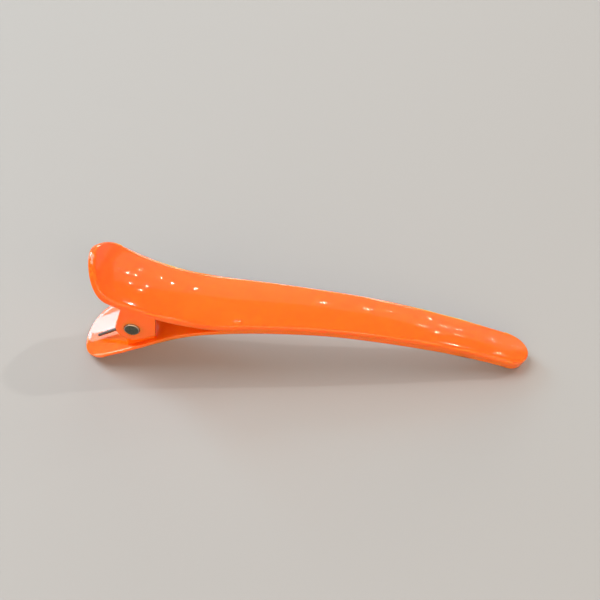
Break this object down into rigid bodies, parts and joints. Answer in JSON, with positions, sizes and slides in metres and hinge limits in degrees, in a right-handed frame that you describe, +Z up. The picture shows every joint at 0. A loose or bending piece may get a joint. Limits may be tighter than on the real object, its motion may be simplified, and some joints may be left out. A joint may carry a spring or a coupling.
{
  "type": "sectioning spring clip",
  "caption": "Long arched spring clip with hinged jaws; a coil spring round the hinge pin holds the narrow curved nose shut until the flared handles are squeezed.",
  "frame": {"origin": "on the surface the closed clip lies on, under the middle of its bounding box", "axes": "+X along the clip from the handles to the nose tip, +Y across it to the far side, +Z up through both jaws"},
  "size_m": [0.1128, 0.0184, 0.032],
  "materials": {
    "moulded_plastic": "glossy, slightly translucent orange moulding",
    "pin_steel": "bright ground pin with a dark end face",
    "spring_steel": "drawn wire"
  },
  "bodies": {
    "lower": {"lower_jaw": "moulded_plastic", "torsion_spring": "spring_steel"},
    "upper": {"upper_jaw": "moulded_plastic", "hinge_pin": "pin_steel"}
  },
  "joints": [
    {"name": "jaw_hinge", "type": "hinge", "parent": "lower", "child": "upper", "pos_m": [-0.04119, 0, 0.0149], "axis": [0, -1, 0], "range_deg": [0, 60], "stiffness_Nm_per_rad": 0.05, "springref_deg": -40.11, "deforming": ["torsion_spring"]}
  ]
}
